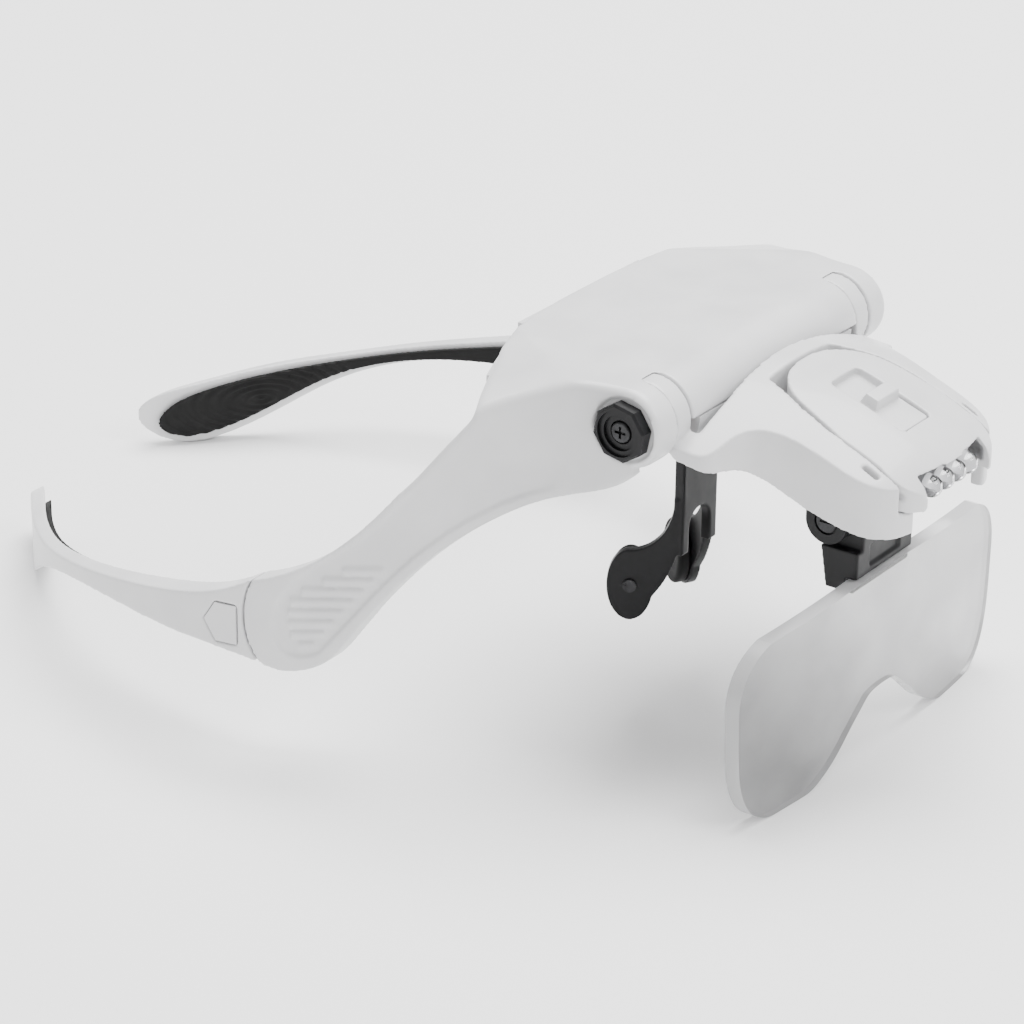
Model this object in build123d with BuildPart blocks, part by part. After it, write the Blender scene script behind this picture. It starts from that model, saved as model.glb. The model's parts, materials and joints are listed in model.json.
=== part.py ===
"""Head visor magnifier: brow casing, temples, flip-up lamp bracket, lamp and lens.

Millimetres, +Z up. The wearer looks along -Y, so the wearer's right is -X.
The object stands on the lens and on the temple tips, at Z = 0.
Left-hand pieces are modelled at +X, and right-hand ones are their mirror images.
"""
import os
from math import cos, radians, sin

from build123d import *

os.makedirs("parts", exist_ok=True)

# ---- driving dimensions ----
GAP = 0.3                   # gap between separate bodies
FIT = 0.06                  # radial clearance of a running shaft
WALL = 2.2                  # wall of the brow casing

HINGE_Y, HINGE_Z = -70.5, 84.5      # axis of the lamp bracket, along X
BOSS_R, BOSS_END = 9.2, 48.2        # hinge boss: radius, |x| of its end face
EAR_R, EAR_IN, EAR_OUT = 8.9, 34.2, 39.6
SLOT_IN, SLOT_OUT = EAR_IN - GAP, EAR_OUT + GAP
AXLE_R = 1.75               # shank of the hinge screw
KNOB_R, KNOB_T = 6.8, 3.4   # eight-sided knob: corner radius, thickness
KNOB_OUT = 49.7             # |x| of the knob's outer face

ROOF_Z, LIP_Z, RIM_Z = 93.2, 84.8, 75.3     # brow casing: top, front lip, lower rim
CASE_HALF = 64.5            # half width of the casing at its rear corners
REAR_EDGE = [(62.0, -40.9), (45, -33.4), (23, -28.6), (0, -27.6)]
POST_XY = [(22, -40), (22, -60)]    # screw posts of the casing

ELBOW_X, ELBOW_Y, ELBOW_Z = 85.6, 1.0, 31.6     # joint between wing and temple
TONGUE_L, TONGUE_H, TONGUE_T = 24.0, 5.6, 2.0   # the wing's tongue, in the temple's socket
TONGUE_ROOT, TONGUE_Z = 1.6, 30.4    # how far the tongue starts inside the wing, its height
LATCH_PRESS = 0.8           # travel of the latch button
PAD_DEPTH = 1.5             # thickness of the temple pad
LEFT_PULL = 14.3            # how far the left temple stands pulled out at rest
ORIGIN_Y = -3.185           # puts the origin in the middle of the overall length

BRACKET_REAR_R = 11.0       # the bracket clears the lip on this radius
BRACKET_FRONT = -124.8
CROWN_Z = 10.7              # centre of the bracket's crowned top, seen from the front
TRAY_TILT = 8.0             # slope of the lamp bay's floor, degrees
TRAY_Y, TRAY_Z = -86.0, 74.0        # rear point of that floor
TRAY_T = 1.8
BAY_HALF = 19.2             # half width of the lamp bay at its front
LAMP_SPLIT = 7.0            # height of the lamp's parting plane above the bay's floor

LED_COUNT, LED_PITCH, LED_R = 4, 5.15, 2.5
LED_Y, LED_Z, LED_DIP = -121.4, 72.4, 12.0

HUB_Y, HUB_Z, HUB_R = -101.6, 58.6, 5.2     # axis of the lens holder, along X
LUG_IN, LUG_OUT = 9.9, 13.0
PIN_R = 1.5

LENS_R, LENS_T = 400.0, 3.6         # curve seen from above, thickness
LENS_FRONT, LENS_TOP = -110.6, 45.6
TAB_HALF, TAB_TOP, TAB_T = 8.0, 54.4, 1.4   # the lens's mounting tab
HOLDER_FRONT, HOLDER_REAR, HOLDER_LOW = -109.5, -101.4, 42.6

STEM_HALF, STEM_T = 7.2, 2.6        # nose piece's stem: half width, thickness
STEM_Y = -59.1                      # middle of the stem
ARM_T, PAD_T = 2.4, 2.8             # nose piece's arms, nose pads
PAD_AT = (11.2, 28.0)               # middle of a nose pad: along its arm, height

# Outer face seen from above, from boss to temple tip: |x|, y, and the wall's thickness there
PLAN = [(BOSS_END, -80), (BOSS_END, -62), (52.5, -52), (CASE_HALF, -38), (80.6, -12), (88.2, 3),
        (89.9, 18), (86.6, 38), (79.2, 61), (68.2, 81), (54.2, 97.3), (41.2, 109.4), (25, 126.0)]
THICKNESS = [3.2, 3.2, 3.2, 3.6, 5.4, 6.0, 6.4, 5.6, 4.4, 3.7, 3.5, 3.4, 3.4]

PANEL_DEPTH = 0.7                   # how far the wing's panel is sunk
RIB_REAR = [-17.0, -13.2, -9.0, -6.9, -6.2, -6.4, -6.9, -8.2]   # rear ends of the wing's grip ribs
MOUNT_SCREW_X, MOUNT_SCREW_Y = 7.0, -14.0       # screws of the holder mount, on the bay's floor
LAMP_SCREW_X, LAMP_SCREW_Y = 14.4, -21.0        # screws of the lamp, on the bay's floor
CELL_Y, CELL_R, CELL_T = -14.5, 10.0, 3.2       # coin cells: middle, radius, thickness
DOOR_X, DOOR_Y = 21.4, 22.4                     # opening of the battery door
CORNER_IN, CORNER_REAR = 13.2, -112.2           # where the lamp cover's front corners start

tray = Plane((0, TRAY_Y, TRAY_Z), x_dir=(1, 0, 0),
             z_dir=(0, -sin(radians(TRAY_TILT)), cos(radians(TRAY_TILT))))
nose_arm = Plane((STEM_HALF - 0.9, STEM_Y, 0), x_dir=(0.5, 0.866, 0), z_dir=(0.866, -0.5, 0))
elbow = Plane((ELBOW_X, ELBOW_Y, ELBOW_Z), x_dir=(0, 1, 0), z_dir=(1, 0, 0))


# ---- shared shapes ----
def moved_plan(insets):
    """The plan line's points, each moved inwards by its inset."""
    line = Edge.make_spline([Vector(x, y) for x, y in PLAN])
    moved = []
    for (x, y), inset in zip(PLAN, insets):
        along = line.tangent_at(line.param_at_point(Vector(x, y)))
        moved.append((x - inset * along.Y, y + inset * along.X))
    return moved


def band(outer, inner, low=-5, high=100):
    """A curved wall along the plan line, between two lists of insets."""
    with BuildPart() as wall:
        with BuildSketch(Plane.XY.offset(low)):
            with BuildLine():
                first = Spline(*moved_plan(outer))
                second = Spline(*moved_plan(inner))
                Line(first @ 0, second @ 0)
                Line(first @ 1, second @ 1)
            make_face()
        extrude(amount=high - low)
    return wall.part


def side_prism(*runs, near=0.0, far=100.0):
    """A closed YZ outline of lines (2 points) and splines (more), extruded along X."""
    with BuildPart() as prism:
        with BuildSketch(Plane.YZ.offset(near)):
            with BuildLine():
                for run in runs:
                    Line(*run) if len(run) == 2 else Spline(*run)
            make_face()
        extrude(amount=far - near)
    return prism.part


def side_plate(points, near, far):
    """A closed YZ polygon, extruded along X."""
    with BuildPart() as plate:
        with BuildSketch(Plane.YZ.offset(near)):
            with BuildLine():
                Polyline(*points, close=True)
            make_face()
        extrude(amount=far - near)
    return plate.part


def plan_plate(points, low, high):
    """A closed XY polygon, extruded upwards."""
    with BuildPart() as plate:
        with BuildSketch(Plane.XY.offset(low)):
            with BuildLine():
                Polyline(*points, close=True)
            make_face()
        extrude(amount=high - low)
    return plate.part


def rod(y, z, radius, start, end):
    """A round rod along X."""
    with BuildPart() as bar:
        with BuildSketch(Plane.YZ.offset(start)):
            with Locations((y, z)):
                Circle(radius)
        extrude(amount=end - start)
    return bar.part


def block(x, y, z):
    """A box between pairs of x, y and z."""
    with BuildPart() as solid:
        with Locations(((x[0] + x[1]) / 2, (y[0] + y[1]) / 2, (z[0] + z[1]) / 2)):
            Box(x[1] - x[0], y[1] - y[0], z[1] - z[0])
    return solid.part


def both(points):
    """The points and their mirror images at -x."""
    return [(s * x, y) for s in (1, -1) for x, y in points]


def save(name, part, pull=0.0):
    """Label a piece and write its STEP file, in the final frame."""
    placed = part.moved(Location((0, ORIGIN_Y + pull, 0)))
    placed.label = name
    export_step(placed, f"parts/{name}.step")


def save_pair(name, part, pull=0.0):
    """Write the left-hand piece, pulled out by pull, and its mirror image."""
    save(f"{name}_left", part, pull)
    with BuildPart() as other:
        mirror(part, about=Plane.YZ)
    save(f"{name}_right", other.part)


# ---- brow casing ----
def corner_cut(drop=0):
    """Wedges that lower the roof towards its rear corners."""
    with BuildPart() as cut:
        for side in (1, -1):
            with BuildSketch(Plane((side * 26, -27, ROOF_Z + 0.2 - drop), x_dir=(0.972, 0, -side * 0.235),
                                   z_dir=(side * 0.232, 0.169, 0.958))):
                Rectangle(160, 160)
            extrude(amount=40)
    return cut.part


def brow_block(inset, low=RIM_Z - 8):
    """Roof, front lip and bosses as one solid, shrunk by inset."""
    radius, top_z, end = BOSS_R - inset, ROOF_Z - inset, BOSS_END - inset
    back = 3 if inset else 0
    edge = [(x, y + back) for x, y in REAR_EDGE]
    with BuildPart() as solid:
        with BuildSketch(Plane.XY.offset(low)):
            with BuildLine():
                rear = Spline(*edge, *[(-x, y) for x, y in reversed(edge[:-1])])
                Polyline(rear @ 0, (80, edge[0][1] - 7), (80, -90),
                         (-80, -90), (-80, edge[0][1] - 7), rear @ 1)
            make_face()
        extrude(amount=ROOF_Z + 5 - low)
        with BuildSketch(Plane.XY.offset(low - 1)):
            with BuildLine():
                left = Spline(*moved_plan([inset] * len(PLAN)))
                right = Spline(*[(-x, y) for x, y in moved_plan([inset] * len(PLAN))])
                Polyline(left @ 0, (end, -95), (-end, -95), right @ 0)
                Line(left @ 1, right @ 1)
            make_face()
        extrude(amount=ROOF_Z + 8 - low, mode=Mode.INTERSECT)
        with BuildSketch(Plane.YZ.offset(-70)):
            with BuildLine():
                top = Spline((-20, top_z - 0.6), (-45, top_z), (HINGE_Y, HINGE_Z + radius),
                             tangents=[(-1, 0.05), (-1, 0)])
                ThreePointArc(top @ 1, (HINGE_Y - radius, HINGE_Z), (HINGE_Y, HINGE_Z - radius))
                Polyline((HINGE_Y, HINGE_Z - radius), (HINGE_Y, low - 1), (-20, low - 1), top @ 0)
            make_face()
        extrude(amount=140, mode=Mode.INTERSECT)
        add(corner_cut(inset), mode=Mode.SUBTRACT)
        if inset == 0:
            walls = solid.faces().filter_by(lambda f: abs(f.center().X) > 47 and f.center().Z < 86)
            tops = solid.faces().filter_by(lambda f: f.center().Z > 87)
            rims = [e for e in walls.edges() if any(e.is_same(t) for t in tops.edges())]
            fillet([e for e in rims if e.center().Y < -42], 2)
    return solid.part


def wing_outline():
    """The wing seen from the side, from the casing to the elbow."""
    return side_prism([(-40.9, 85.4), (-32.9, 74.1), (-23.2, 60.5), (-13.5, 50.6), (1.0, 43.6)],
                      [(1.0, 43.6), (3.1, 33.6), (-0.1, 23.2)],
                      [(-0.1, 23.2), (-6.2, 21.4), (-12.1, 23.2), (-18, 30.3), (-27.9, 44.5),
                       (-37.6, 55), (-52.7, 64.7), (-67, 69.8), (-73, 74.3)],
                      [(-73, 74.3), (-71, 80)], [(-71, 80), (-60, 86)], [(-60, 86), (-40.9, 85.4)])


def grip_panel():
    """The sunk panel on the wing, less its grip ribs."""
    with BuildPart() as panel:
        add(side_prism([(-43.6, 81.2), (-35.8, 74), (-20.3, 55), (-8.8, 45.1), (-3.4, 35.7),
                        (-5.6, 25.9), (-12.1, 26.2)],
                       [(-12.1, 26.2), (-21.9, 39.9), (-33.8, 54.4), (-51.7, 66.7)],
                       [(-51.7, 66.7), (-56.7, 72.4), (-54.3, 79.3), (-43.6, 81.2)]))
        for step, rear in enumerate(RIB_REAR):
            front = -24.9 + 1.96 * step
            height = 47.1 - 2.72 * step
            with Locations((50, (rear + front) / 2, height)):
                Box(100, rear - front, 1.4, rotation=(-3, 0, 0), mode=Mode.SUBTRACT)
    return panel.part


with BuildPart() as sunk_panel:
    add(band([-1] * len(PLAN), [PANEL_DEPTH] * len(PLAN)))
    add(grip_panel(), mode=Mode.INTERSECT)

with BuildPart() as wing:
    add(band([0] * len(PLAN), THICKNESS))
    add(wing_outline(), mode=Mode.INTERSECT)
    add(sunk_panel.part, mode=Mode.SUBTRACT)

latch_outline = [(3.8, -4.8), (9.0, -4.8), (12.0, 0), (9.0, 4.7), (3.8, 4.7)]

with BuildPart() as tongue:
    with BuildSketch(elbow.offset(-TONGUE_T / 2)):
        with Locations(((TONGUE_L - TONGUE_ROOT) / 2, TONGUE_Z - ELBOW_Z)):
            RectangleRounded(TONGUE_L + TONGUE_ROOT, TONGUE_H, 1.2)
    extrude(amount=TONGUE_T)

with BuildPart() as ear_webs:
    for x in ((SLOT_IN - WALL, SLOT_IN), (SLOT_OUT, SLOT_OUT + WALL)):
        add(block(x, (-90, -58), (RIM_Z, ROOF_Z + 2)))
    add(brow_block(0.4), mode=Mode.INTERSECT)

with BuildPart() as half_case:
    add(brow_block(0))
    add(brow_block(WALL, RIM_Z - 12), mode=Mode.SUBTRACT)
    add(ear_webs.part)
    add(rod(HINGE_Y, HINGE_Z, 4.4, 27.4, SLOT_IN - 1))
    for x, y in POST_XY:
        with Locations((x, y, (RIM_Z + 2 + ROOF_Z - 1) / 2)):
            Cylinder(2.6, ROOF_Z - RIM_Z - 3)
        with Locations((x, y, RIM_Z + 1)):
            Cylinder(0.95, 9, align=(Align.CENTER, Align.CENTER, Align.MIN), mode=Mode.SUBTRACT)
    add(block((-80, 80), (-90, 0), (RIM_Z - 20, RIM_Z)), mode=Mode.SUBTRACT)
    add(wing.part)
    add(tongue.part)
    add(block((-1, SLOT_IN), (-90, HINGE_Y + 1), (RIM_Z - 9, LIP_Z)), mode=Mode.SUBTRACT)
    add(block((SLOT_IN, SLOT_OUT), (-90, HINGE_Y), (RIM_Z - 9, ROOF_Z + 9)), mode=Mode.SUBTRACT)
    add(rod(HINGE_Y, HINGE_Z, EAR_R + 0.25, SLOT_IN, SLOT_OUT), mode=Mode.SUBTRACT)
    add(rod(HINGE_Y, HINGE_Z, AXLE_R + FIT, SLOT_IN - 1, 60), mode=Mode.SUBTRACT)
    add(rod(HINGE_Y, HINGE_Z, 2.65, 20, SLOT_IN + 0.1), mode=Mode.SUBTRACT)
    add(rod(HINGE_Y, HINGE_Z, 5.6, SLOT_IN - 0.6, SLOT_IN + 0.1), mode=Mode.SUBTRACT)
    add(rod(HINGE_Y, HINGE_Z, KNOB_R + 0.8, KNOB_OUT - KNOB_T, 70), mode=Mode.SUBTRACT)
    split(bisect_by=Plane.YZ, keep=Keep.TOP)

with BuildPart() as brow_shell:
    add(half_case.part)
    mirror(half_case.part, about=Plane.YZ)
save("brow_shell", brow_shell.part)

with BuildPart() as under_cover:
    add(brow_block(0))
    add(brow_block(WALL), mode=Mode.SUBTRACT)
    add(block((-60, 60), (-90, HINGE_Y - 1), (RIM_Z - 20, LIP_Z - GAP)), mode=Mode.INTERSECT)
    floor = [(56, -40.2), (49.2, -51), (44.6, -57.7), (SLOT_IN - WALL - GAP, -57.7),
             (SLOT_IN - WALL - GAP, -77.5)]
    rear = [(45, -36), (23, -32.4), (0, -31.4)]
    add(plan_plate(floor + [(-x, y) for x, y in reversed(floor)] +
                   [(-x, y) for x, y in rear] + rear[1::-1], RIM_Z, RIM_Z + 2))
    add(block((SLOT_IN - WALL - GAP, 90), (-90, -57.7), (0, 100)), mode=Mode.SUBTRACT)
    add(block((-90, -SLOT_IN + WALL + GAP), (-90, -57.7), (0, 100)), mode=Mode.SUBTRACT)
    with BuildSketch(Plane.XY.offset(RIM_Z)):
        with BuildLine():
            edge = [(x, y - 2.0) for x, y in REAR_EDGE[1:]]
            outer = Spline(*edge, *[(-x, y) for x, y in reversed(edge[:-1])])
            inner = Spline(*[(v.X, v.Y - 2.0) for v in (outer @ (k / 6) for k in range(7))])
            Line(outer @ 0, inner @ 0)
            Line(outer @ 1, inner @ 1)
        make_face()
    extrude(amount=ROOF_Z - WALL - GAP - RIM_Z - 1.5)
    add(corner_cut(WALL + GAP + 0.3), mode=Mode.SUBTRACT)
    add(block((-STEM_HALF - 2, STEM_HALF + 2), (STEM_Y - 3.6, STEM_Y + 3.6), (RIM_Z, RIM_Z + 12)))
    add(block((-STEM_HALF - GAP, STEM_HALF + GAP),
              (STEM_Y - STEM_T / 2 - GAP, STEM_Y + STEM_T / 2 + GAP), (0, RIM_Z + 11)), mode=Mode.SUBTRACT)
    for x, y in both(POST_XY):
        with Locations((x, y, RIM_Z)):
            Cylinder(1.2, 10, mode=Mode.SUBTRACT)
            Cone(2.1, 1.2, 1.8, align=(Align.CENTER, Align.CENTER, Align.MIN), mode=Mode.SUBTRACT)
save("under_cover", under_cover.part)

with BuildPart() as cover_screws:
    for x, y in both(POST_XY):
        with BuildSketch(Plane.XZ.offset(-y)):
            with BuildLine():
                Polyline((x, RIM_Z + 0.1), (x + 1.9, RIM_Z + 0.1), (x + 0.9, RIM_Z + 1.3),
                         (x + 0.9, RIM_Z + 8), (x, RIM_Z + 8.6), close=True)
            make_face()
        revolve(axis=Axis((x, y, 0), (0, 0, 1)))
        with Locations((x, y, RIM_Z + 0.3)):
            Box(2.2, 0.5, 0.8, mode=Mode.SUBTRACT)
            Box(0.5, 2.2, 0.8, mode=Mode.SUBTRACT)
save("cover_screws", cover_screws.part)

with BuildPart() as forehead_pad:
    with BuildSketch(Plane.XY.offset(RIM_Z - 1)):
        with BuildLine():
            edge = [(x, y - 1.8) for x, y in REAR_EDGE[1:]]
            front = Spline(*edge, *[(-x, y) for x, y in reversed(edge[:-1])])
            back = Spline(*[(v.X, v.Y + 3.0) for v in (front @ (k / 6) for k in range(7))])
            Line(front @ 0, back @ 0)
            Line(front @ 1, back @ 1)
        make_face()
    extrude(amount=ROOF_Z - WALL - GAP - RIM_Z)
    add(corner_cut(WALL + GAP + 0.3), mode=Mode.SUBTRACT)
    for x in ((-24, -8), (-4.5, 4.5), (8, 24)):
        add(block(x, (-27.2, -25.6), (ROOF_Z - 10, ROOF_Z - 2.2)))
save("forehead_pad", forehead_pad.part)

with BuildPart() as hinge_insert:
    add(rod(HINGE_Y, HINGE_Z, 2.6, 28, SLOT_IN - 0.9))
    add(rod(HINGE_Y, HINGE_Z, AXLE_R + FIT, 20, 40), mode=Mode.SUBTRACT)
save_pair("hinge_insert", hinge_insert.part)

with BuildPart() as friction_washer:
    add(rod(HINGE_Y, HINGE_Z, 5.4, SLOT_IN - 0.55, EAR_IN - 0.04))
    add(rod(HINGE_Y, HINGE_Z, AXLE_R + FIT, 20, 40), mode=Mode.SUBTRACT)
save_pair("friction_washer", friction_washer.part)

# ---- hinge knobs ----
knob_face = Plane((KNOB_OUT, HINGE_Y, HINGE_Z), x_dir=(0, 1, 0), z_dir=(1, 0, 0))
with BuildPart() as hinge_knob:
    with BuildSketch(knob_face.offset(-KNOB_T + GAP)):
        RegularPolygon(KNOB_R, 8, rotation=-11)
    extrude(amount=KNOB_T - GAP)
    chamfer(hinge_knob.faces().sort_by(Axis.X)[-1].edges(), 0.5)
    for radius, depth in ((5.3, 0.7), (4.1, 1.4), (2.75, 2.3)):
        with BuildSketch(knob_face.offset(-depth)):
            Circle(radius)
        extrude(amount=depth + 1, mode=Mode.SUBTRACT)
    add(rod(HINGE_Y, HINGE_Z, AXLE_R + 0.02, 40, 60), mode=Mode.SUBTRACT)
save_pair("hinge_knob", hinge_knob.part)

with BuildPart() as hinge_screw:
    with BuildSketch(knob_face.offset(-2.25)):
        Circle(2.5)
    extrude(amount=1.3)
    fillet(hinge_screw.faces().sort_by(Axis.X)[-1].edges(), 0.5)
    with BuildSketch(knob_face.offset(-1.7)):
        Rectangle(2.8, 0.6)
        Rectangle(0.6, 2.8)
    extrude(amount=1.5, mode=Mode.SUBTRACT)
    add(rod(HINGE_Y, HINGE_Z, AXLE_R, 28.4, KNOB_OUT - 2.2))
save_pair("hinge_screw", hinge_screw.part)

# ---- temples ----
with BuildPart() as temple:
    add(band([0] * len(PLAN), THICKNESS))
    add(side_prism([(0.25, 23.2), (3.45, 33.6), (1.35, 43.5)],
                   [(1.35, 43.5), (6, 41), (25, 35.1), (45, 30.5), (65, 26.2), (83, 22.4), (98, 19.5),
                    (108, 16.6), (114, 14.6), (117.8, 12.2), (119.2, 9.4)],
                   [(119.2, 9.4), (118.6, 6.2), (116.2, 3), (112.4, 0.7), (108.4, 0.04), (104.2, 1.2),
                    (98, 4.5), (83, 14.9), (65, 21.9), (45, 24.6),
                    (25, 25.4), (6, 24.6), (0.25, 23.2)]), mode=Mode.INTERSECT)
    with BuildSketch(elbow.offset(-TONGUE_T / 2 - GAP)):
        with Locations(((TONGUE_L - 7) / 2, TONGUE_Z - ELBOW_Z)):
            RectangleRounded(TONGUE_L + 8.6, TONGUE_H + 2 * GAP, 1.8)
    extrude(amount=TONGUE_T + 2 * GAP, mode=Mode.SUBTRACT)
    with BuildSketch(elbow.offset(TONGUE_T / 2)):
        with BuildLine():
            Polyline(*latch_outline, close=True)
        make_face()
        offset(amount=0.25)
    extrude(amount=10, mode=Mode.SUBTRACT)
save_pair("temple", temple.part, LEFT_PULL)

with BuildPart() as latch:
    with BuildSketch(elbow.offset(TONGUE_T / 2 + GAP + LATCH_PRESS)):
        with BuildLine():
            Polyline(*latch_outline, close=True)
        make_face()
    extrude(amount=4)
    add(band([0.05] * len(PLAN), [5] * len(PLAN)), mode=Mode.INTERSECT)
save_pair("temple_latch", latch.part, LEFT_PULL)

with BuildPart() as temple_pad:
    add(band([t + 0.02 for t in THICKNESS], [t + PAD_DEPTH for t in THICKNESS]))
    add(side_prism([(9, 38.6), (25, 33.7), (45, 29.1), (65, 24.9), (83, 21), (98, 17.6), (106, 14.9),
                    (112, 11.2), (114.2, 7.6)],
                   [(114.2, 7.6), (113.8, 4.7), (111.4, 2.7), (107.6, 2.3), (103, 3.7), (98, 6.4),
                    (83, 16.6), (65, 22.7),
                    (45, 25.2), (25, 26), (9, 25.4)], [(9, 25.4), (9, 38.6)]), mode=Mode.INTERSECT)
save_pair("temple_pad", temple_pad.part, LEFT_PULL)

# ---- nose piece ----
def nose_rod(radius, start, end):
    """A round rod through the middle of a left-hand nose pad, along the arm's normal."""
    with BuildPart() as bar:
        with BuildSketch(nose_arm.offset(start)):
            with Locations(PAD_AT):
                Circle(radius)
        extrude(amount=end - start)
    return bar.part


with BuildPart() as nose_half:
    add(block((0, STEM_HALF), (STEM_Y - STEM_T / 2, STEM_Y + STEM_T / 2), (36, RIM_Z + 10.6)))
    stem_top = nose_half.edges().filter_by(Axis.Y).filter_by(lambda e: e.center().Z > 80)
    fillet(stem_top.sort_by(Axis.X)[-1], 2.5)
    with BuildSketch(nose_arm.offset(-ARM_T / 2)):
        with BuildLine():
            rear = Spline((1.4, 50), (2.2, 44.5), (5.2, 39.6), (PAD_AT[0], 36.8))
            front = Spline((-0.6, 50), (-0.3, 40), (2.0, 32), (PAD_AT[0] - 4.9, 25))
            Line(rear @ 0, front @ 0)
            Line(rear @ 1, front @ 1)
        make_face()
        with Locations(PAD_AT):
            Ellipse(5.4, 8.9)
    extrude(amount=ARM_T)
    with BuildSketch(Plane.XZ.offset(-STEM_Y - 10)):
        with Locations((0, 36)):
            SlotCenterToCenter(12, 8.4, rotation=90)
    extrude(amount=20, mode=Mode.SUBTRACT)
    add(nose_rod(0.95, -9, 9), mode=Mode.SUBTRACT)

with BuildPart() as nose_bracket:
    add(nose_half.part)
    mirror(nose_half.part, about=Plane.YZ)
save("nose_bracket", nose_bracket.part)

with BuildPart() as nose_pad:
    with BuildSketch(nose_arm.offset(-ARM_T / 2 - GAP - PAD_T)):
        with Locations(PAD_AT):
            Ellipse(4.9, 8.3)
    extrude(amount=PAD_T)
    fillet(nose_pad.edges().sort_by(Axis((0, 0, 0), (0.866, -0.5, 0)))[0], 1.1)
    add(nose_rod(0.95, -9, 9), mode=Mode.SUBTRACT)
    add(nose_rod(2.0, -9, -ARM_T / 2 - GAP - PAD_T + 1.1), mode=Mode.SUBTRACT)
save_pair("nose_pad", nose_pad.part)

with BuildPart() as nose_pin:
    add(nose_rod(0.88, -ARM_T / 2 - GAP - PAD_T + 0.4, ARM_T / 2 + 0.1))
    add(nose_rod(1.7, -ARM_T / 2 - GAP - PAD_T + 0.4, -ARM_T / 2 - GAP - PAD_T + 1.0))
    add(nose_rod(1.6, ARM_T / 2 + 0.02, ARM_T / 2 + 0.6))
save_pair("nose_pin", nose_pin.part)

# ---- lamp bracket ----
# Crowned top of bracket and lamp along the middle, from the rear forwards: y, z
CREST = [(-72, 91.0), (-87, 89.7), (-96, 88.6), (-105, 85.9), (-115.5, 82), (-123, 78), (-126.4, 74.6),
         (-127.0, 70.5)]
UNDERSIDE_PLAN = [(13, -88.8), (22.5, -98.5), (22.6, -112), (21.2, -117.6), (18.6, -120.4), (15.4, -121.6)]
RAIL_T = 0.9                # how far the bay's rails reach into the lamp's grooves
BAY_PLAN = [(12.5, -85.2), (17.2, -96.6), (18.6, -104), (BAY_HALF, -118), (BAY_HALF, -140)]


def crown(inset=0):
    """Everything under the crowned top, lowered by inset."""
    with BuildPart() as solid:
        with BuildSketch(Plane.YZ):
            with BuildLine():
                top = Spline(*[(y, z - inset) for y, z in CREST])
                Polyline(top @ 0, (CREST[0][0], CROWN_Z), (CREST[-1][0], CROWN_Z), top @ 1)
            make_face()
        revolve(axis=Axis((0, 0, CROWN_Z), (0, 1, 0)))
    return solid.part


def tray_slab(low, high):
    """A wide slab parallel to the bay's floor, between two heights above it."""
    with BuildPart() as slab:
        with BuildSketch(tray.offset(low)):
            with Locations((0, -30)):
                Rectangle(120, 120)
        extrude(amount=high - low)
    return slab.part


with BuildPart() as bay:
    add(plan_plate(BAY_PLAN + [(-x, y) for x, y in reversed(BAY_PLAN)], 50, 100))
    add(tray_slab(0, 40), mode=Mode.INTERSECT)

with BuildPart() as underside:
    add(plan_plate(UNDERSIDE_PLAN + [(-x, y) for x, y in reversed(UNDERSIDE_PLAN)], 50, 100))
    add(tray_slab(-40, -TRAY_T), mode=Mode.INTERSECT)

with BuildPart() as bay_rails:
    add(block((BAY_HALF - RAIL_T, BAY_HALF + 0.4), (-122, -105), (50, 100)))
    add(block((-BAY_HALF - 0.4, RAIL_T - BAY_HALF), (-122, -105), (50, 100)))
    add(tray_slab(3.2, 4.4), mode=Mode.INTERSECT)

with BuildPart() as rail_grooves:
    add(block((BAY_HALF - RAIL_T - GAP - 0.1, 22), (-140, -80), (50, 100)))
    add(block((-22, RAIL_T + GAP + 0.1 - BAY_HALF), (-140, -80), (50, 100)))
    add(tray_slab(2.9, 4.7), mode=Mode.INTERSECT)

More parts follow.
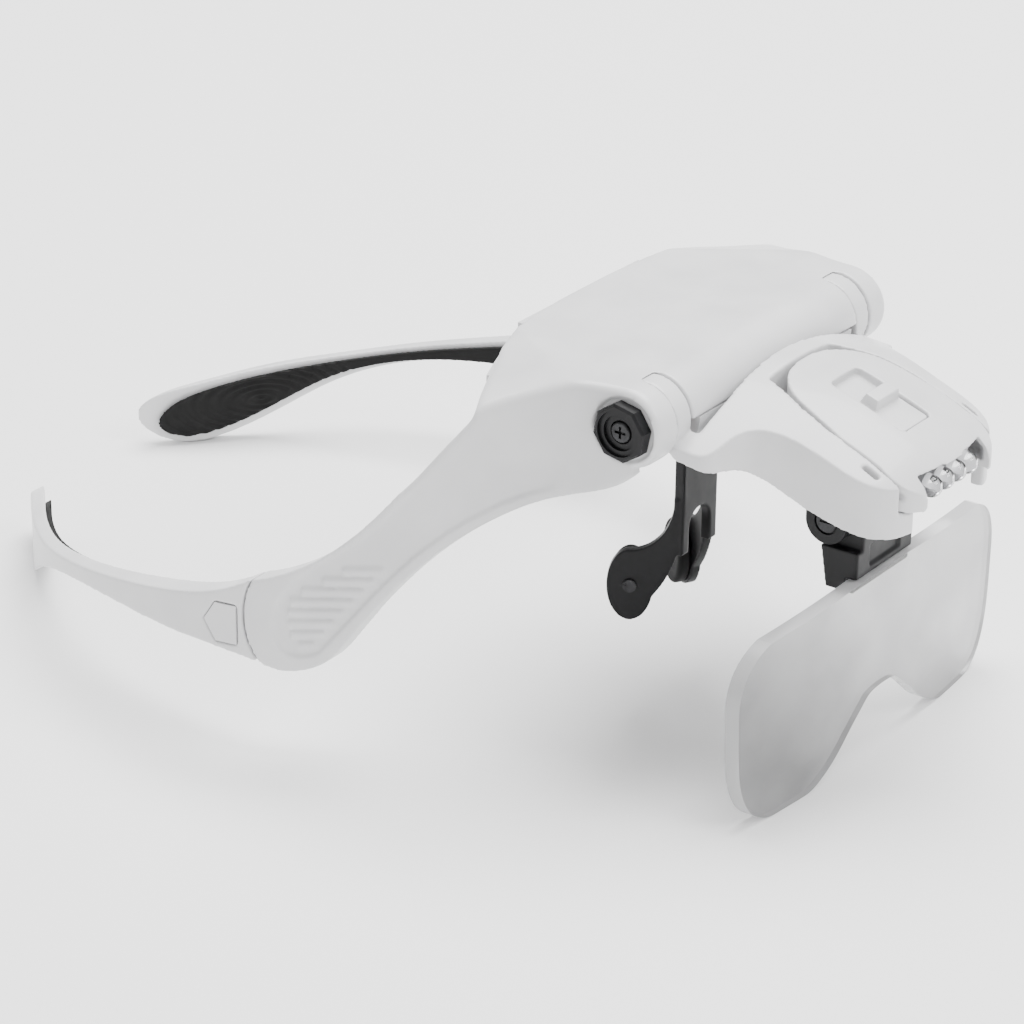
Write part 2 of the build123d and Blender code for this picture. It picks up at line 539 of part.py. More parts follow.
with BuildPart() as lamp_bracket:
    with BuildSketch(Plane.XY.offset(50)):
        with BuildLine():
            outline = [(EAR_OUT, -83.5), (38.2, -86.7), (33, -88.8), (29.3, -91.5), (27, -97), (26, -105),
                       (25.7, -113), (24.2, -118.8), (20.4, -122.8), (15.4, BRACKET_FRONT)]
            left = Spline(*outline)
            right = Spline(*[(-x, y) for x, y in outline])
            Line(left @ 1, right @ 1)
            Polyline(left @ 0, (EAR_OUT, -72), (-EAR_OUT, -72), right @ 0)
        make_face()
    extrude(amount=50)
    add(crown(), mode=Mode.INTERSECT)
    add(side_prism([(-78.5, 76.9), (-84.5, 75.8), (-89.5, 74.3), (-94.8, 71.7), (-104, 67.2),
                    (-114, 64.5), (-120, 63.3), (BRACKET_FRONT, 63.3)],
                   [(BRACKET_FRONT, 63.3), (BRACKET_FRONT, 99)], [(BRACKET_FRONT, 99), (-72, 99)],
                   [(-72, 99), (-72, 84)], [(-72, 84), (-78.5, 76.9)], near=-60, far=60), mode=Mode.INTERSECT)
    add(rod(HINGE_Y, HINGE_Z, BRACKET_REAR_R, -EAR_IN, EAR_IN), mode=Mode.SUBTRACT)
    add(bay.part, mode=Mode.SUBTRACT)
    add(underside.part, mode=Mode.SUBTRACT)
    add(block((-15, 15), (-140, -117.5), (50, 100)), mode=Mode.SUBTRACT)
    for side in (1, -1):
        near, far = sorted((side * EAR_IN, side * EAR_OUT))
        add(rod(HINGE_Y, HINGE_Z, EAR_R, near, far))
        add(rod(HINGE_Y, HINGE_Z, AXLE_R + FIT, near, far), mode=Mode.SUBTRACT)
        with Locations((side * 21.2, -116.5, 76)):
            Box(1.3, 4.6, 6, rotation=(18, 0, 0), mode=Mode.SUBTRACT)
    add(bay_rails.part)
    for x in (MOUNT_SCREW_X, -MOUNT_SCREW_X):
        with BuildSketch(tray.offset(-TRAY_T - 1)):
            with Locations((x, MOUNT_SCREW_Y)):
                Circle(1.05)
        extrude(amount=TRAY_T + 2, mode=Mode.SUBTRACT)
        with BuildSketch(tray.offset(-1.0)):
            with Locations((x, MOUNT_SCREW_Y)):
                Circle(2.1)
        extrude(amount=2, mode=Mode.SUBTRACT)
save("lamp_bracket", lamp_bracket.part)

with BuildPart() as holder_mount:
    add(block((-LUG_OUT, LUG_OUT), (-106.6, -96.4), (63.8, 75)))
    add(tray_slab(-40, -TRAY_T), mode=Mode.INTERSECT)
    for near in (-LUG_OUT, LUG_IN):
        far = near + LUG_OUT - LUG_IN
        add(rod(HUB_Y, HUB_Z, HUB_R, near, far))
        add(block((near, far), (HUB_Y - HUB_R, HUB_Y + HUB_R), (HUB_Z, 64)))
        add(rod(HUB_Y, HUB_Z, PIN_R + 0.02, near - 1, far + 1), mode=Mode.SUBTRACT)
        outer = -LUG_OUT if near < 0 else LUG_OUT - 0.7
        add(rod(HUB_Y, HUB_Z, 3.0, outer, outer + 0.7), mode=Mode.SUBTRACT)
    for x in (MOUNT_SCREW_X, -MOUNT_SCREW_X):
        with BuildSketch(tray.offset(-9)):
            with Locations((x, MOUNT_SCREW_Y)):
                Circle(0.95)
        extrude(amount=9, mode=Mode.SUBTRACT)
save("holder_mount", holder_mount.part)

with BuildPart() as mount_screws:
    for x in (MOUNT_SCREW_X, -MOUNT_SCREW_X):
        with BuildSketch(tray.offset(-6.5)):
            with Locations((x, MOUNT_SCREW_Y)):
                Circle(0.9)
        extrude(amount=5.7)
        with BuildSketch(tray.offset(-0.98)):
            with Locations((x, MOUNT_SCREW_Y)):
                Circle(1.9)
        extrude(amount=0.9)
        with BuildSketch(tray.offset(-0.6)):
            with Locations((x, MOUNT_SCREW_Y)):
                Rectangle(2.2, 0.5)
                Rectangle(0.5, 2.2)
        extrude(amount=1, mode=Mode.SUBTRACT)
save("mount_screws", mount_screws.part)

with BuildPart() as holder_pin:
    add(rod(HUB_Y, HUB_Z, PIN_R, 0.6 - LUG_OUT, LUG_OUT - 0.6))
    for start in (-LUG_OUT + 0.05, LUG_OUT - 0.65):
        add(rod(HUB_Y, HUB_Z, 2.5, start, start + 0.6))
    for face in (-LUG_OUT, LUG_OUT - 0.45):
        add(block((face, face + 0.45), (HUB_Y - 1.6, HUB_Y + 1.6), (HUB_Z - 0.3, HUB_Z + 0.3)),
            mode=Mode.SUBTRACT)
save("holder_pin", holder_pin.part)


# ---- lamp ----
LAMP_HALF, LAMP_REAR, LAMP_FRONT = 18.85, -86.3, -127.2


def lamp_block(inset):
    """The lamp's outer form, shrunk by inset on every side."""
    narrow = 1 - inset / LAMP_HALF
    rear, front = LAMP_REAR - inset, LAMP_FRONT + inset
    edge = [(0, rear), (8.5, rear - 1.3), (13.7, rear - 5.3), (16.6, rear - 11.3), (18.1, rear - 18.3),
            (LAMP_HALF, -118)]
    with BuildPart() as solid:
        with BuildSketch(Plane.XY.offset(50)):
            with BuildLine():
                side = Spline(*[(x * narrow, y) for x, y in edge], tangents=[(1, 0), (0, -1)])
                corner = Spline(side @ 1, (18.4 * narrow, front + 3.8), (13.5 * narrow, front))
                Line(corner @ 1, (0, front))
                Line((0, front), (0, rear))
            make_face()
            mirror(about=Plane.YZ)
        extrude(amount=50)
        add(crown(inset), mode=Mode.INTERSECT)
        add(tray_slab(GAP + inset, 40), mode=Mode.INTERSECT)
    return solid.part


recess = Plane((0, -105.85, 83.3), x_dir=(1, 0, 0), z_dir=(0, -sin(radians(18.9)), cos(radians(18.9))))

led_axes = [Plane(((k - (LED_COUNT - 1) / 2) * LED_PITCH, LED_Y, LED_Z), x_dir=(1, 0, 0),
                  z_dir=(0, -cos(radians(LED_DIP)), -sin(radians(LED_DIP)))) for k in range(LED_COUNT)]

with BuildPart() as lamp_corners:
    add(block((CORNER_IN + 0.1, 30), (-140, CORNER_REAR - 0.1), (50, 100)))
    add(block((-30, -CORNER_IN - 0.1), (-140, CORNER_REAR - 0.1), (50, 100)))
    add(lamp_block(0), mode=Mode.INTERSECT)

with BuildPart() as lamp_cover:
    add(lamp_block(0))
    add(tray_slab(LAMP_SPLIT + 0.05, 40), mode=Mode.INTERSECT)
    add(lamp_corners.part)
    add(lamp_block(1.5), mode=Mode.SUBTRACT)
    with BuildSketch(recess.offset(-1.3)):
        RectangleRounded(14, 23, 2)
    extrude(amount=2.6)
    with BuildSketch(recess):
        RectangleRounded(11.4, 20.4, 1.2)
    extrude(amount=8, mode=Mode.SUBTRACT)
    with BuildSketch(recess.offset(-4)):
        with Locations((0, -1)):
            Rectangle(2.6, 9)
    extrude(amount=6, mode=Mode.SUBTRACT)
    add(rail_grooves.part, mode=Mode.SUBTRACT)
    for x in (LAMP_SCREW_X, -LAMP_SCREW_X):
        with BuildSketch(tray.offset(LAMP_SPLIT + 0.1)):
            with Locations((x, LAMP_SCREW_Y)):
                Circle(1.9)
        extrude(amount=3.6)
        with BuildSketch(tray.offset(LAMP_SPLIT - 1)):
            with Locations((x, LAMP_SCREW_Y)):
                Circle(0.85)
        extrude(amount=4, mode=Mode.SUBTRACT)
save("lamp_cover", lamp_cover.part)

with BuildPart() as base_hollow:
    add(lamp_block(1.3))
    add(block((-11.6, 11.6), (-114.5, -87.5), (50, 100)), mode=Mode.INTERSECT)

with BuildPart() as lamp_base:
    add(lamp_block(0))
    add(tray_slab(0, LAMP_SPLIT), mode=Mode.INTERSECT)
    for x in ((CORNER_IN - 0.1, 30), (-30, 0.1 - CORNER_IN)):
        add(block(x, (-140, CORNER_REAR + 0.1), (50, 100)), mode=Mode.SUBTRACT)
    add(base_hollow.part, mode=Mode.SUBTRACT)
    add(block((-14, 14), (-140, -121.6), (50, 100)), mode=Mode.SUBTRACT)
    with BuildSketch(tray):
        with Locations((0, CELL_Y)):
            Rectangle(DOOR_X, DOOR_Y)
    extrude(amount=3, mode=Mode.SUBTRACT)
    add(rail_grooves.part, mode=Mode.SUBTRACT)
    for led_axis in led_axes:
        with BuildSketch(led_axis.offset(-7)):
            Circle(LED_R + 0.03)
        extrude(amount=12, mode=Mode.SUBTRACT)
    for x in (LAMP_SCREW_X, -LAMP_SCREW_X):
        with BuildSketch(tray):
            with Locations((x, LAMP_SCREW_Y)):
                Circle(1.0)
        extrude(amount=9, mode=Mode.SUBTRACT)
        with BuildSketch(tray):
            with Locations((x, LAMP_SCREW_Y)):
                Circle(1.9)
        extrude(amount=1.6, mode=Mode.SUBTRACT)
save("lamp_base", lamp_base.part)

with BuildPart() as lamp_screws:
    for x in (LAMP_SCREW_X, -LAMP_SCREW_X):
        with BuildSketch(tray.offset(0.6)):
            with Locations((x, LAMP_SCREW_Y)):
                Circle(1.75)
        extrude(amount=0.95)
        with BuildSketch(tray.offset(1.5)):
            with Locations((x, LAMP_SCREW_Y)):
                Circle(0.82)
        extrude(amount=8.3)
save("lamp_screws", lamp_screws.part)

with BuildPart() as battery_door:
    with BuildSketch(tray.offset(GAP + 0.02)):
        with Locations((0, CELL_Y)):
            Rectangle(DOOR_X - GAP, DOOR_Y - GAP)
    extrude(amount=0.95)
    with BuildSketch(tray.offset(GAP)):
        with Locations((0, -21), (0, -19.5), (0, -18)):
            Rectangle(9, 0.7)
    extrude(amount=0.4, mode=Mode.SUBTRACT)
save("battery_door", battery_door.part)

with BuildPart() as cell_contact_bottom:
    with BuildSketch(tray.offset(1.3)):
        with Locations((0, -14)):
            Rectangle(4, 16)
    extrude(amount=0.2)
save("cell_contact_bottom", cell_contact_bottom.part)

with BuildPart() as coin_cells:
    for low in (1.55, 4.77):
        with BuildSketch(tray.offset(low)):
            with Locations((0, CELL_Y)):
                Circle(CELL_R)
        extrude(amount=CELL_T - 0.1)
        with BuildSketch(tray.offset(low + CELL_T - 0.1)):
            with Locations((0, CELL_Y)):
                Circle(CELL_R - 1.4)
        extrude(amount=0.1)
save("coin_cells", coin_cells.part)

with BuildPart() as cell_contact_top:
    with BuildSketch(tray.offset(8.0)):
        with Locations((0, -14)):
            Rectangle(5, 16)
    extrude(amount=0.2)
save("cell_contact_top", cell_contact_top.part)

with BuildPart() as circuit_board:
    with BuildSketch(tray.offset(8.25)):
        with Locations((0, -16)):
            Rectangle(22, 17)
    extrude(amount=0.8)
save("circuit_board", circuit_board.part)

with BuildPart() as switch_body:
    with BuildSketch(tray.offset(9.07)):
        with Locations((0, -18)):
            Rectangle(8.6, 4.4)
    extrude(amount=1.1)
save("switch_body", switch_body.part)

with BuildPart() as leds:
    for led_axis in led_axes:
        with BuildSketch(led_axis.offset(-2.0)):
            Circle(LED_R)
        extrude(amount=5.2)
        with Locations(led_axis.offset(3.2)):
            Sphere(LED_R)
save("leds", leds.part)

with BuildPart() as switch_slider:
    with BuildSketch(recess.offset(0.25)):
        with Locations((0, -3.6)):
            RectangleRounded(10.6, 12.4, 0.8)
    extrude(amount=1.0)
    with BuildSketch(recess.offset(1.2)):
        with Locations((0, 0.3)):
            Rectangle(10.0, 4.4)
    extrude(amount=2.6, taper=12)
    with BuildSketch(recess.offset(-0.7)):
        with Locations((0, -2.6)):
            Rectangle(1.9, 2.0)
    extrude(amount=1.1)
save("switch_slider", switch_slider.part)

# ---- lens ----
with BuildPart() as lens_plate:
    with BuildSketch(Plane.XY.offset(-5)):
        with Locations((0, LENS_FRONT + LENS_R)):
            Circle(LENS_R)
            Circle(LENS_R - LENS_T, mode=Mode.SUBTRACT)
    extrude(amount=70)
    add(block((-60, 60), (-130, -95), (-5, 65)), mode=Mode.INTERSECT)

with BuildPart() as lens:
    with BuildSketch(Plane.XZ.offset(80)):
        with BuildLine():
            Polyline((0, TAB_TOP), (TAB_HALF, TAB_TOP), (TAB_HALF, LENS_TOP), (44.5, LENS_TOP - 2.2))
            Spline((44.5, LENS_TOP - 2.2), (51.6, 38.8), (54.6, 28))
            Spline((54.6, 28), (54.0, 16), (50.6, 5.2), (42, 0))
            Line((42, 0), (30, 0))
            Spline((30, 0), (24.5, 1.4), (17.5, 5.8), (12.6, 10.2), (8, 13.9), (0, 16.3),
                   tangents=[(-1, 0), (-1, 0)])
            Line((0, 16.3), (0, TAB_TOP))
        make_face()
        mirror(about=Plane.YZ)
    extrude(amount=60)
    add(lens_plate.part, mode=Mode.INTERSECT)
    add(block((-60, 60), (-130, LENS_FRONT + LENS_T - TAB_T), (LENS_TOP + 0.01, 60)), mode=Mode.SUBTRACT)
save("lens", lens.part)

with BuildPart() as lens_holder:
    add(side_plate([(-98.8, 59.5), (-99.6, 51.4), (HOLDER_FRONT, 51.4), (HOLDER_FRONT, 56.2), (-105.6, 61.5)],
                   GAP - LUG_IN, LUG_IN - GAP))
    behind = LENS_FRONT + LENS_T + 2 * GAP
    add(side_plate([(-99.8, 52.4), (HOLDER_REAR, HOLDER_LOW), (behind, HOLDER_LOW),
                    (behind, LENS_TOP + GAP), (HOLDER_FRONT, LENS_TOP + GAP), (HOLDER_FRONT, 52.4)],
                   -11.8, 11.8))
    fillet(lens_holder.edges().filter_by(Axis.X).group_by(Axis.Y)[0], 0.5)
    add(rod(HUB_Y, HUB_Z, 4.9, GAP - LUG_IN, LUG_IN - GAP))
    add(rod(HUB_Y, HUB_Z, PIN_R + FIT, -20, 20), mode=Mode.SUBTRACT)
    tab_rear = LENS_FRONT + LENS_T
    add(block((-TAB_HALF - GAP, TAB_HALF + GAP), (tab_rear - TAB_T - GAP, tab_rear + GAP + 0.1),
              (40, TAB_TOP + GAP)), mode=Mode.SUBTRACT)
    add(block((-6.5, 6.5), (HOLDER_FRONT - 1, HOLDER_FRONT + 0.6), (47.6, 53.0)), mode=Mode.SUBTRACT)
save("lens_holder", lens_holder.part)
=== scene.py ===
import json
import math

import bmesh
import bpy
from mathutils import Matrix, Vector

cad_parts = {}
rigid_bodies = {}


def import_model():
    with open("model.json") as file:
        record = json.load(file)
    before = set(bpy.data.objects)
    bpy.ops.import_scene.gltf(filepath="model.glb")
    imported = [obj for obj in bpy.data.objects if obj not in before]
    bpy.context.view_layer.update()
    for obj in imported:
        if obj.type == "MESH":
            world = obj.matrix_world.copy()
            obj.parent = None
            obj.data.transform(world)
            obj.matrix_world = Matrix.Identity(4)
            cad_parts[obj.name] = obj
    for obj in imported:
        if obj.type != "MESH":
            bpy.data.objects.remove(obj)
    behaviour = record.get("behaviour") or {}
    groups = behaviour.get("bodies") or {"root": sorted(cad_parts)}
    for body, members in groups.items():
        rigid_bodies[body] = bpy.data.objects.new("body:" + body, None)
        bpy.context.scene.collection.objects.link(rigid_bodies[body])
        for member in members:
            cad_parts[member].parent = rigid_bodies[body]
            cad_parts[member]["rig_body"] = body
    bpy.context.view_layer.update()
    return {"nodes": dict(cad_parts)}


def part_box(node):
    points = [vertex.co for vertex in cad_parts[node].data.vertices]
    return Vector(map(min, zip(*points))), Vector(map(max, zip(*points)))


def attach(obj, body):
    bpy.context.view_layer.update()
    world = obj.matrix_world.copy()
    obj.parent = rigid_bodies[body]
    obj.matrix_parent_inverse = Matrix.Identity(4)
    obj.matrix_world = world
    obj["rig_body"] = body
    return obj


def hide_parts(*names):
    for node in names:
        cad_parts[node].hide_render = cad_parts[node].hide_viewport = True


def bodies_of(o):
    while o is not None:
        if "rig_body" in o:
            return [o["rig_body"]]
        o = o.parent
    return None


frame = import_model()
nodes = frame["nodes"]

MM = 0.001

# materials
GRAIN_STRENGTH = 0.35
RIPPLE_STRENGTH = 0.25      # of clear mouldings other than the lens
RIPPLE_SPREAD = 1.4         # ripple blobs, against the tint's
RIPPLE_DEPTH = 0.05         # mm
TRACKS = 420                # bricks per metre in the board's pattern
ACRYLIC_IOR = 1.49
LENS_CLOUD = 16             # mm, blobs of the lens's tint
LENS_RIPPLE = 22            # mm, blobs of its faint relief
LENS_RIPPLE_STRENGTH = 0.2
FACE_NORMAL = 0.80          # the lens is all face where its normal is this much along Y
EDGE_NORMAL = 0.55          # and all edge below this
FACE_GLOSS, EDGE_GLOSS = 0.02, 0.22
FACE_CLEAR, EDGE_CLEAR = 1.0, 0.62

# moulded copies
KEPT_SHARE = 0.6            # of a copy's faces, after thinning
WELD = 1e-6                 # metres
SMOOTH_FACTOR = 0.5
BLEND_ROUNDS = 160
FLANK_X = (38, 46)          # mm, bands over which the blended part of the casing begins
FLANK_Y = (-64, -56)
FLANK_Z = (66, 71)

# oval ridges in the temple pads, in mm
RING_FROM_TIP = 19
RING_ABOVE_LOW = 9.5
RING_REACH = 13.5
RING_PITCH = 1.5
RING_DEPTH = 0.38
RING_INNER_FACE = -0.25     # the outward part of a normal, below which a face looks inwards
RING_ALONG = (0.62, -0.14)  # turns and squeezes the circles into ovals
RING_ACROSS = (0.16, 1)

# studio, in metres
FLOOR_HALF = 6.0
FLOOR_SEGMENTS = 40
FLOOR_DROP = 0.0002
FLOOR_PATCH = 800           # mm, blobs of the floor's colour
WORLD_STRENGTH = 0.9
CAMERA_PLACE = (-0.7015, -0.5123, 0.4329)
CAMERA_RIGHT = (0.5850, -0.8110, 0.0084)
CAMERA_AHEAD = (0.7369, 0.5271, -0.4234)
CAMERA_LENS = 140.6         # mm
CAMERA_SENSOR = 36          # mm


# ---------------------------------------------------------------- materials
def start_material(name):
    """An empty node material with a Principled shader, and its coordinates in metres."""
    made = bpy.data.materials.new(name)
    made.use_nodes = True
    tree = made.node_tree
    shader = tree.nodes["Principled BSDF"]
    place = tree.nodes.new("ShaderNodeTexCoord")
    return made, tree, shader, place.outputs["Object"]


def noise(tree, place, size_mm, detail=3.0):
    """Noise whose blobs are about size_mm across."""
    node = tree.nodes.new("ShaderNodeTexNoise")
    node.inputs["Scale"].default_value = 1.0 / (size_mm * MM)
    node.inputs["Detail"].default_value = detail
    tree.links.new(place, node.inputs["Vector"])
    return node.outputs["Fac"]


def ramp(tree, value, first, last, start=0.3, end=0.7):
    """Colour from first to last as value goes from start to end."""
    node = tree.nodes.new("ShaderNodeValToRGB")
    node.color_ramp.elements[0].position = start
    node.color_ramp.elements[1].position = end
    node.color_ramp.elements[0].color = (*first, 1)
    node.color_ramp.elements[1].color = (*last, 1)
    tree.links.new(value, node.inputs["Fac"])
    return node.outputs["Color"]


def span(tree, value, low, high, start=0.3, end=0.7):
    """A number from low to high as value goes from start to end."""
    node = tree.nodes.new("ShaderNodeMapRange")
    node.inputs["From Min"].default_value = start
    node.inputs["From Max"].default_value = end
    node.inputs["To Min"].default_value = low
    node.inputs["To Max"].default_value = high
    tree.links.new(value, node.inputs["Value"])
    return node.outputs["Result"]


def bump(tree, shader, height, strength, depth_mm):
    """Relief from a height, depth_mm deep."""
    node = tree.nodes.new("ShaderNodeBump")
    node.inputs["Strength"].default_value = strength
    node.inputs["Distance"].default_value = depth_mm * MM
    tree.links.new(height, node.inputs["Height"])
    tree.links.new(node.outputs["Normal"], shader.inputs["Normal"])


def solid_material(name, first, last, rough, patch_mm, grain_mm, depth_mm,
                   metallic=0.0, specular=0.5, coat=0.0):
    """Plastic, rubber or metal: broad colour variation, uneven gloss and a fine grain."""
    made, tree, shader, place = start_material(name)
    broad = noise(tree, place, patch_mm)
    fine = noise(tree, place, grain_mm, 2.0)
    tree.links.new(ramp(tree, broad, first, last), shader.inputs["Base Color"])
    tree.links.new(span(tree, broad, *rough), shader.inputs["Roughness"])
    shader.inputs["Metallic"].default_value = metallic
    shader.inputs["Specular IOR Level"].default_value = specular
    shader.inputs["Coat Weight"].default_value = coat
    bump(tree, shader, fine, GRAIN_STRENGTH, depth_mm)
    return made


def clear_material(name, first, last, ior, rough, patch_mm):
    """Clear moulded plastic with a faint cloudy tint."""
    made, tree, shader, place = start_material(name)
    cloud = noise(tree, place, patch_mm)
    tree.links.new(ramp(tree, cloud, first, last), shader.inputs["Base Color"])
    tree.links.new(span(tree, cloud, *rough), shader.inputs["Roughness"])
    shader.inputs["Transmission Weight"].default_value = 1.0
    shader.inputs["IOR"].default_value = ior
    bump(tree, shader, noise(tree, place, patch_mm * RIPPLE_SPREAD, 1.0), RIPPLE_STRENGTH, RIPPLE_DEPTH)
    return made


def lens_material(name):
    """Clear acrylic: a grey, faintly cloudy tint in its two faces, and bright, slightly frosted edges."""
    made, tree, shader, place = start_material(name)
    cloud = noise(tree, place, LENS_CLOUD)
    tint = ramp(tree, cloud, (0.34, 0.34, 0.344), (0.46, 0.46, 0.464))
    surface = tree.nodes.new("ShaderNodeTexCoord")
    parts = tree.nodes.new("ShaderNodeSeparateXYZ")
    tree.links.new(surface.outputs["Normal"], parts.inputs["Vector"])
    facing = tree.nodes.new("ShaderNodeMath")
    facing.operation = "ABSOLUTE"
    tree.links.new(parts.outputs["Y"], facing.inputs[0])
    edge = span(tree, facing.outputs["Value"], 0, 1, FACE_NORMAL, EDGE_NORMAL)
    colour = tree.nodes.new("ShaderNodeMix")
    colour.data_type = "RGBA"
    colour.inputs["B"].default_value = (0.97, 0.97, 0.98, 1)
    tree.links.new(edge, colour.inputs["Factor"])
    tree.links.new(tint, colour.inputs["A"])
    tree.links.new(colour.outputs["Result"], shader.inputs["Base Color"])
    tree.links.new(span(tree, edge, FACE_GLOSS, EDGE_GLOSS, 0, 1), shader.inputs["Roughness"])
    tree.links.new(span(tree, edge, FACE_CLEAR, EDGE_CLEAR, 0, 1), shader.inputs["Transmission Weight"])
    shader.inputs["IOR"].default_value = ACRYLIC_IOR
    bump(tree, shader, noise(tree, place, LENS_RIPPLE, 1.0), LENS_RIPPLE_STRENGTH, RIPPLE_DEPTH)
    return made


def board_material(name):
    """Green board with darker copper tracks under the varnish."""
    made, tree, shader, place = start_material(name)
    tracks = tree.nodes.new("ShaderNodeTexBrick")
    tracks.inputs["Scale"].default_value = TRACKS
    tracks.inputs["Color1"].default_value = (0.02, 0.16, 0.06, 1)
    tracks.inputs["Color2"].default_value = (0.03, 0.22, 0.08, 1)
    tracks.inputs["Mortar"].default_value = (0.10, 0.28, 0.12, 1)
    tree.links.new(place, tracks.inputs["Vector"])
    tree.links.new(tracks.outputs["Color"], shader.inputs["Base Color"])
    tree.links.new(span(tree, noise(tree, place, 1.5), 0.3, 0.5), shader.inputs["Roughness"])
    bump(tree, shader, tracks.outputs["Fac"], 0.3, 0.05)
    return made


made_materials = {
    "white_plastic": solid_material("white_plastic_look", (0.60, 0.60, 0.608), (0.66, 0.66, 0.666),
                                    (0.30, 0.40), 14, 0.35, 0.010, coat=0.15),
    "black_plastic": solid_material("black_plastic_look", (0.004, 0.004, 0.0045), (0.009, 0.009, 0.010),
                                    (0.36, 0.50), 4, 0.30, 0.030, specular=0.22),
    "black_rubber": solid_material("black_rubber_look", (0.005, 0.005, 0.005), (0.011, 0.011, 0.011),
                                   (0.55, 0.72), 5, 0.25, 0.040, specular=0.16),
    "steel": solid_material("steel_look", (0.42, 0.42, 0.43), (0.60, 0.60, 0.61),
                            (0.22, 0.38), 2, 0.15, 0.010, metallic=1.0),
    "dark_steel": solid_material("dark_steel_look", (0.020, 0.020, 0.021), (0.040, 0.040, 0.042),
                                 (0.26, 0.42), 2, 0.15, 0.010, metallic=0.8),
    "brass": solid_material("brass_look", (0.62, 0.42, 0.16), (0.78, 0.56, 0.24),
                            (0.22, 0.40), 2, 0.15, 0.010, metallic=1.0),
    "fibre": solid_material("fibre_look", (0.34, 0.16, 0.08), (0.46, 0.24, 0.13),
                            (0.70, 0.85), 1.5, 0.12, 0.050),
    "clear_lens": lens_material("clear_lens_look"),
    "clear_led": clear_material("clear_led_look", (0.86, 0.86, 0.88), (0.95, 0.95, 0.96),
                                1.5, (0.03, 0.10), 2),
    "board": board_material("board_look"),
}


def paint(piece, slot_name):
    """The slot's finish, alone, on a piece."""
    piece.data.materials.clear()
    piece.data.materials.append(made_materials[slot_name])


def slot_of(node):
    """The record's material slot of a CAD node, from the material that it came with."""
    came_with = nodes[node].material_slots[0].material.name
    for name in made_materials:
        if came_with.split(".")[0] == name:
            return name
    raise ValueError("no finish for " + came_with)


SLOTS = {name: slot_of(name) for name in nodes}
for name in nodes:
    for held in nodes[name].material_slots:
        held.material = made_materials[SLOTS[name]]


# ---------------------------------------------------------------- moulded copies
def body_of(node):
    """The body that a CAD node rides on."""
    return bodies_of(nodes[node])[0]


def apply_all(piece):
    """The piece's modifiers become its mesh."""
    bpy.context.view_layer.update()
    done = bpy.data.meshes.new_from_object(piece.evaluated_get(bpy.context.evaluated_depsgraph_get()))
    piece.modifiers.clear()
    piece.data = done


def rise(value, start, end):
    """0 at start, 1 at end, smooth between."""
    t = min(max((value - start) / (end - start), 0), 1)
    return t * t * (3 - 2 * t)


def casing_blend(point):
    """Weight 1 on the outside of the casing's flanks, where the wings run into the roof."""
    across = abs(point.x)
    flank = rise(across, *FLANK_X)
    behind_boss = rise(point.y, *FLANK_Y)
    above = rise(point.z, *FLANK_Z)
    return flank * behind_boss * above


def moulded(node, voxel_mm, rounds, keep=1.0, shape=None, blend=None):
    """A copy of a CAD node with soft moulded edges, which stands for it.
    Where blend gives a weight for a point in millimetres, neighbouring faces run into each other."""
    source = nodes[node]
    work = bmesh.new()
    work.from_mesh(source.data)
    work.transform(source.matrix_world)
    bmesh.ops.remove_doubles(work, verts=work.verts, dist=WELD)
    mesh = bpy.data.meshes.new(node + "_moulded")
    work.to_mesh(mesh)
    work.free()
    piece = bpy.data.objects.new(node + "_moulded", mesh)
    bpy.context.scene.collection.objects.link(piece)
    remesh = piece.modifiers.new("even", "REMESH")
    remesh.mode = "VOXEL"
    remesh.voxel_size = voxel_mm * MM
    soften = piece.modifiers.new("soften", "SMOOTH")
    soften.factor = SMOOTH_FACTOR
    soften.iterations = rounds
    apply_all(piece)
    if blend:
        group = piece.vertex_groups.new(name="blend")
        for vertex in piece.data.vertices:
            weight = blend(vertex.co / MM)
            if weight > 0:
                group.add([vertex.index], weight, "REPLACE")
        wide = piece.modifiers.new("wide", "SMOOTH")
        wide.factor = SMOOTH_FACTOR
        wide.iterations = BLEND_ROUNDS
        wide.vertex_group = "blend"
        apply_all(piece)
    if keep < 1:
        thin = piece.modifiers.new("thin", "DECIMATE")
        thin.ratio = keep
        apply_all(piece)
    done = piece.data
    if shape:
        shape(done)
    done.polygons.foreach_set("use_smooth", [True] * len(done.polygons))
    paint(piece, SLOTS[node])
    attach(piece, body_of(node))
    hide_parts(node)
    return piece


def ringed(node):
    """Gives a temple pad its oval ridges, cut into its inner face near the tip."""
    low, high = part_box(node)
    side = 1 if low[0] + high[0] > 0 else -1
    middle_y = high[1] - RING_FROM_TIP * MM
    middle_z = low[2] + RING_ABOVE_LOW * MM

    def cut(mesh):
        for vertex in mesh.vertices:
            if vertex.normal.x * side > RING_INNER_FACE:
                continue
            y = vertex.co.y - middle_y
            z = vertex.co.z - middle_z
            along = y * RING_ALONG[0] + z * RING_ALONG[1]
            across = y * RING_ACROSS[0] + z * RING_ACROSS[1]
            reach = math.hypot(along, across) / MM
            if reach < RING_REACH:
                groove = 0.5 - 0.5 * math.cos(2 * math.pi * reach / RING_PITCH)
                vertex.co -= vertex.normal * (RING_DEPTH * MM * groove)
    return cut


moulded("brow_shell", 0.45, 4, KEPT_SHARE, blend=casing_blend)
moulded("lamp_bracket", 0.4, 4, KEPT_SHARE)
moulded("lamp_cover", 0.35, 3, KEPT_SHARE)
for side_name in ("left", "right"):
    moulded("temple_" + side_name, 0.4, 5, KEPT_SHARE)
    moulded("temple_pad_" + side_name, 0.28, 2, 1.0, ringed("temple_pad_" + side_name))
    moulded("nose_pad_" + side_name, 0.25, 3, KEPT_SHARE)
moulded("nose_bracket", 0.3, 3, KEPT_SHARE)
moulded("lens_holder", 0.3, 2, KEPT_SHARE)
moulded("switch_slider", 0.2, 2, KEPT_SHARE)


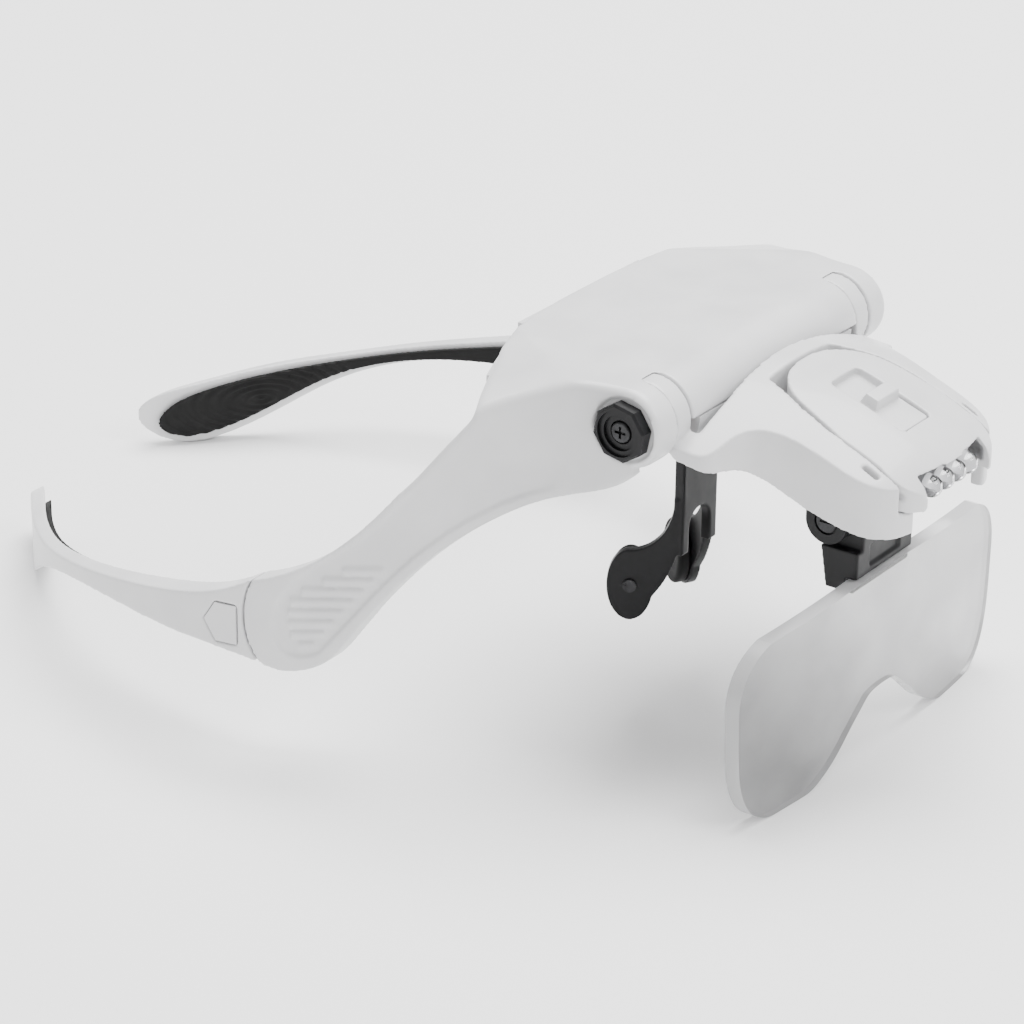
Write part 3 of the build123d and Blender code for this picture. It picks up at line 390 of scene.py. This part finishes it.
# ---------------------------------------------------------------- studio
def floor_piece():
    """A wide, flat, pale floor just below the object."""
    work = bmesh.new()
    bmesh.ops.create_grid(work, x_segments=FLOOR_SEGMENTS, y_segments=FLOOR_SEGMENTS, size=FLOOR_HALF)
    mesh = bpy.data.meshes.new("studio_floor")
    work.to_mesh(mesh)
    work.free()
    piece = bpy.data.objects.new("studio_floor", mesh)
    bpy.context.scene.collection.objects.link(piece)
    piece.location.z = -FLOOR_DROP
    made, tree, shader, place = start_material("studio_floor_look")
    tree.links.new(ramp(tree, noise(tree, place, FLOOR_PATCH), (0.90, 0.90, 0.90), (0.92, 0.92, 0.92)),
                   shader.inputs["Base Color"])
    shader.inputs["Roughness"].default_value = 0.9
    mesh.materials.append(made)


def area_light(name, place, aim, size, power):
    """A large soft light at place, turned to aim."""
    data = bpy.data.lights.new(name, "AREA")
    data.shape = "RECTANGLE"
    data.size, data.size_y = size
    data.energy = power
    light = bpy.data.objects.new(name, data)
    light.location = place
    light.rotation_euler = (Vector(aim) - Vector(place)).to_track_quat("-Z", "Y").to_euler()
    bpy.context.scene.collection.objects.link(light)


floor_piece()
area_light("top", (0.5, 0.1, 1.8), (0, 0, 0.04), (1.6, 1.6), 95)
area_light("key", (0.2, -1.5, 1.3), (0, -0.02, 0.04), (1.0, 0.8), 20)
world = bpy.data.worlds.new("studio")
bpy.context.scene.world = world
world.use_nodes = True
world.node_tree.nodes["Background"].inputs["Color"].default_value = (1, 1, 1, 1)
world.node_tree.nodes["Background"].inputs["Strength"].default_value = WORLD_STRENGTH

camera_data = bpy.data.cameras.new("view")
camera = bpy.data.objects.new("view", camera_data)
bpy.context.scene.collection.objects.link(camera)
right = Vector(CAMERA_RIGHT).normalized()
ahead = Vector(CAMERA_AHEAD).normalized()
up = right.cross(ahead).normalized()
turned = Matrix((right, up, -ahead)).transposed().to_4x4()
camera.matrix_world = Matrix.Translation(CAMERA_PLACE) @ turned
camera_data.lens = CAMERA_LENS
camera_data.sensor_width = CAMERA_SENSOR
camera_data.dof.use_dof = False
bpy.context.scene.camera = camera
